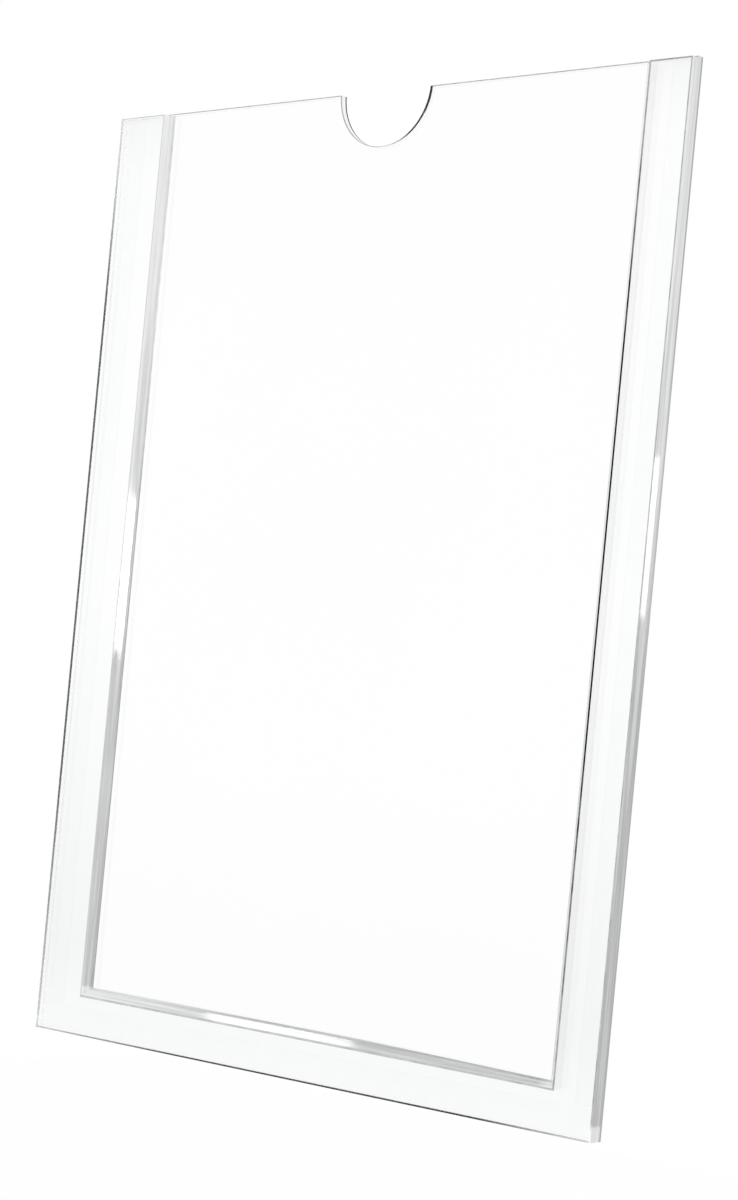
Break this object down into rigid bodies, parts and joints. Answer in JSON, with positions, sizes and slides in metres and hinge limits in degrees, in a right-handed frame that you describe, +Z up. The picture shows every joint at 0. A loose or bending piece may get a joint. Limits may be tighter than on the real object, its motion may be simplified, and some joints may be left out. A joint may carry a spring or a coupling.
{
  "type": "wall document holder",
  "caption": "Clear acrylic wall holder for an upright A4 sheet: a notched panel on tape, with bevelled rails along its sides and bottom and an open top to slide the sheet in.",
  "frame": {"origin": "middle of the bottom tape's wall side, in the plane of the wall", "axes": "+Z up the wall, +Y into the wall, +X to the right as the reader sees it; the holder faces -Y"},
  "size_m": [0.23, 0.0065, 0.3099],
  "materials": {
    "clear_panel": "water-clear cast acrylic sheet, polished faces and edges",
    "clear_rail": "clear cast acrylic strip with a faint grey-green cast, polished faces, edges and bevel",
    "clear_tape": "clear acrylic foam tape, soft satin"
  },
  "bodies": {
    "root": {"front_panel": "clear_panel", "left_rail": "clear_rail", "right_rail": "clear_rail", "bottom_rail": "clear_rail", "left_tape": "clear_tape", "right_tape": "clear_tape", "bottom_tape": "clear_tape"}
  },
  "joints": []
}
